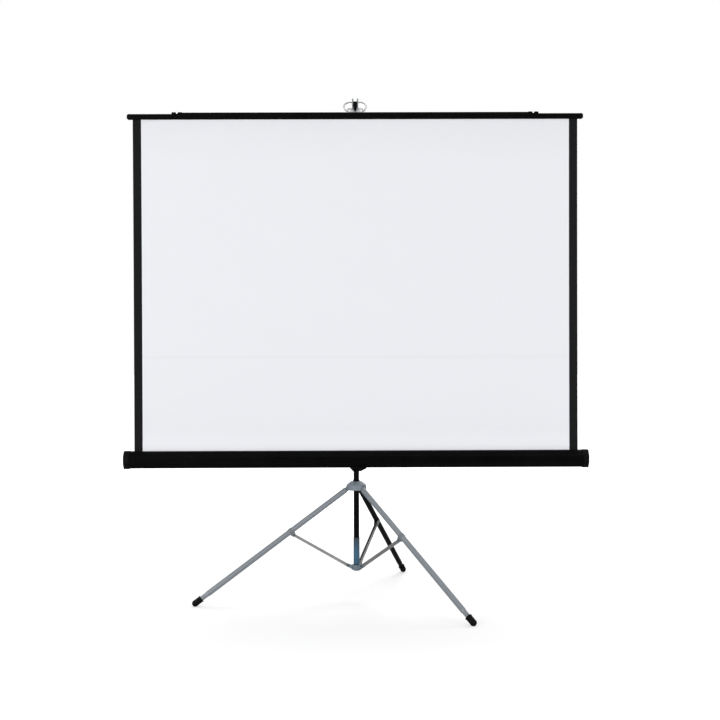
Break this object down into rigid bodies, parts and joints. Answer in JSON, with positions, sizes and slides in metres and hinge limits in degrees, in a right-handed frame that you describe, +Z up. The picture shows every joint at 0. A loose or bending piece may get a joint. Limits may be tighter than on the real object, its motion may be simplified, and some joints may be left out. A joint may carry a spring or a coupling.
{
  "type": "projection screen",
  "caption": "Free-standing tripod projection screen: white fabric with dark borders drawn up from an eight-sided roller case to a slat hung on a hooked rod.",
  "frame": {"origin": "on the floor at the centre of the object's plan box", "axes": "+Z up the mast, +X along the case to the right as seen from the front, +Y away from the viewer (the fabric faces -Y)"},
  "size_m": [1.828, 1.1146, 1.9835],
  "materials": {
    "hub_casting": "satin grey-blue enamel",
    "leg_paint": "satin grey-blue enamel",
    "rear_leg_paint": "satin black enamel",
    "leg_brackets": "satin grey",
    "bright_pins": "bright zinc",
    "brace_steel": "dull grey steel",
    "black_rubber": "matt",
    "black_plastic": "satin",
    "mast_paint": "gloss black",
    "sleeve_blue": "satin steel blue",
    "collar_grey": "satin grey-blue",
    "black_casting": "satin black",
    "white_nylon": "satin",
    "washer_fibre": "fibre",
    "case_paint": "satin black",
    "roller_steel": "zinc plated",
    "screen_fabric": "matt white with black side borders",
    "spring_steel": "oiled",
    "rod_steel": "bright",
    "fork_steel": "dull",
    "slat_paint": "satin black",
    "bail_plate": "pale zinc",
    "bail_chrome": "bright"
  },
  "bodies": {
    "hub": {"leg_hub": "hub_casting", "hub_bushing": "black_plastic", "leg_pivot_pins": "bright_pins"},
    "left_leg": {"left_leg_tube": "leg_paint", "left_leg_fitting": "hub_casting", "left_brace_bracket": "leg_brackets", "left_brace_pin": "bright_pins", "left_foot_tip": "black_rubber"},
    "left_brace_bar": {"left_brace": "brace_steel"},
    "right_leg": {"right_leg_tube": "leg_paint", "right_leg_fitting": "hub_casting", "right_brace_bracket": "leg_brackets", "right_brace_pin": "bright_pins", "right_foot_tip": "black_rubber"},
    "right_brace_bar": {"right_brace": "brace_steel"},
    "rear_leg": {"rear_leg_tube": "rear_leg_paint", "rear_leg_fitting": "hub_casting", "rear_brace_bracket": "leg_brackets", "rear_brace_pin": "bright_pins", "rear_foot_tip": "black_rubber"},
    "rear_brace_bar": {"rear_brace": "brace_steel"},
    "mast": {"mast_tube": "mast_paint", "lower_sleeve": "sleeve_blue", "brace_collar": "collar_grey", "collar_rivets": "bright_pins", "mast_plug": "black_plastic", "rod_guide": "black_plastic", "latch_pin": "bright_pins"},
    "latch": {"rod_latch": "black_plastic"},
    "case": {"carriage": "black_casting", "carriage_liner": "white_nylon", "case_bracket": "black_casting", "case_rivets": "bright_pins", "pivot_stud": "bright_pins", "friction_washer": "washer_fibre", "case_shell": "case_paint", "left_end_cap": "black_plastic", "right_end_cap": "black_plastic", "end_cap_screws": "bright_pins", "roller_bearings": "white_nylon", "trigger_pin": "bright_pins", "fabric_sheet": "screen_fabric"},
    "trigger": {"case_trigger": "black_plastic"},
    "roller": {"roller_tube": "roller_steel", "fabric_roll": "screen_fabric", "roller_plugs": "white_nylon", "roller_spring": "spring_steel"},
    "rod": {"extension_rod": "rod_steel", "rod_foot_guide": "white_nylon", "hook_body": "black_plastic", "hook_tongue": "black_plastic", "hook_fork": "fork_steel"},
    "slat": {"slat_bar": "slat_paint", "slat_end_caps": "black_plastic", "slat_spine": "slat_paint", "spine_clips": "slat_paint", "slat_studs": "bright_pins", "bail_bracket": "bail_plate"},
    "bail": {"bail_wire": "bail_chrome"}
  },
  "joints": [
    {"name": "left_leg_fold", "type": "hinge", "parent": "hub", "child": "left_leg", "pos_m": [-0.03142, -0.06655, 0.447], "axis": [0.1891, -0.982, 0], "range_deg": [0, 50.42]},
    {"name": "left_brace_turn", "type": "hinge", "parent": "left_leg", "child": "left_brace_bar", "pos_m": [-0.24874, -0.10839, 0.26653], "axis": [0.1891, -0.982, 0], "range_deg": [-110.9, 0.3]},
    {"name": "right_leg_fold", "type": "hinge", "parent": "hub", "child": "right_leg", "pos_m": [0.02095, -0.08469, 0.447], "axis": [0.7559, 0.6547, 0], "range_deg": [-0.1, 50.52]},
    {"name": "right_brace_turn", "type": "hinge", "parent": "right_leg", "child": "right_brace_bar", "pos_m": [0.16585, -0.25197, 0.26653], "axis": [0.7559, 0.6547, 0], "range_deg": [-110.9, 0.3]},
    {"name": "rear_leg_fold", "type": "hinge", "parent": "hub", "child": "rear_leg", "pos_m": [0.01047, -0.03026, 0.447], "axis": [-0.9449, 0.3272, 0], "range_deg": [-0.1, 50.52]},
    {"name": "rear_brace_turn", "type": "hinge", "parent": "rear_leg", "child": "rear_brace_bar", "pos_m": [0.0829, 0.17886, 0.26653], "axis": [-0.9449, 0.3272, 0], "range_deg": [-110.9, 0.3]},
    {"name": "mast_slide", "type": "slide", "parent": "hub", "child": "mast", "axis": [0, 0, 1], "range_m": [-0.2291, 0.0005]},
    {"name": "case_slide", "type": "slide", "parent": "hub", "child": "case", "axis": [0, 0, 1], "range_m": [0, 0.4]},
    {"name": "rod_slide", "type": "slide", "parent": "case", "child": "rod", "axis": [0, 0, 1], "range_m": [-0.45, 0]},
    {"name": "slat_slide", "type": "slide", "parent": "case", "child": "slat", "axis": [0, 0, 1], "range_m": [-0.451, 0.001], "deforming": ["fabric_sheet"]},
    {"name": "roller_turn", "type": "hinge", "parent": "case", "child": "roller", "pos_m": [0, -0.1245, 0.5656], "axis": [1, 0, 0], "range_deg": [-1676, 2]},
    {"name": "bail_swing", "type": "hinge", "parent": "slat", "child": "bail", "pos_m": [0, -0.1088, 1.9375], "axis": [1, 0, 0], "range_deg": [-4, 4]},
    {"name": "latch_press", "type": "hinge", "parent": "mast", "child": "latch", "pos_m": [0, -0.0415, 1.408], "axis": [-1, 0, 0], "range_deg": [0, 8], "stiffness_Nm_per_rad": 0.5, "springref_deg": -11.46},
    {"name": "trigger_press", "type": "hinge", "parent": "case", "child": "trigger", "pos_m": [0.02, -0.0605, 0.51711], "axis": [0, -1, 0], "range_deg": [0, 8], "stiffness_Nm_per_rad": 0.5, "springref_deg": -11.46}
  ],
  "couplings": [
    {"joint": "left_brace_turn", "follows": "left_leg_fold", "ratio": -2.1936},
    {"joint": "right_leg_fold", "follows": "left_leg_fold", "ratio": 1},
    {"joint": "right_brace_turn", "follows": "left_leg_fold", "ratio": -2.1936},
    {"joint": "rear_leg_fold", "follows": "left_leg_fold", "ratio": 1},
    {"joint": "rear_brace_turn", "follows": "left_leg_fold", "ratio": -2.1936},
    {"joint": "mast_slide", "follows": "left_leg_fold", "m_per_rad": -0.25984},
    {"joint": "slat_slide", "follows": "rod_slide", "ratio": 1},
    {"joint": "roller_turn", "follows": "rod_slide", "rad_per_m": 64.935}
  ]
}
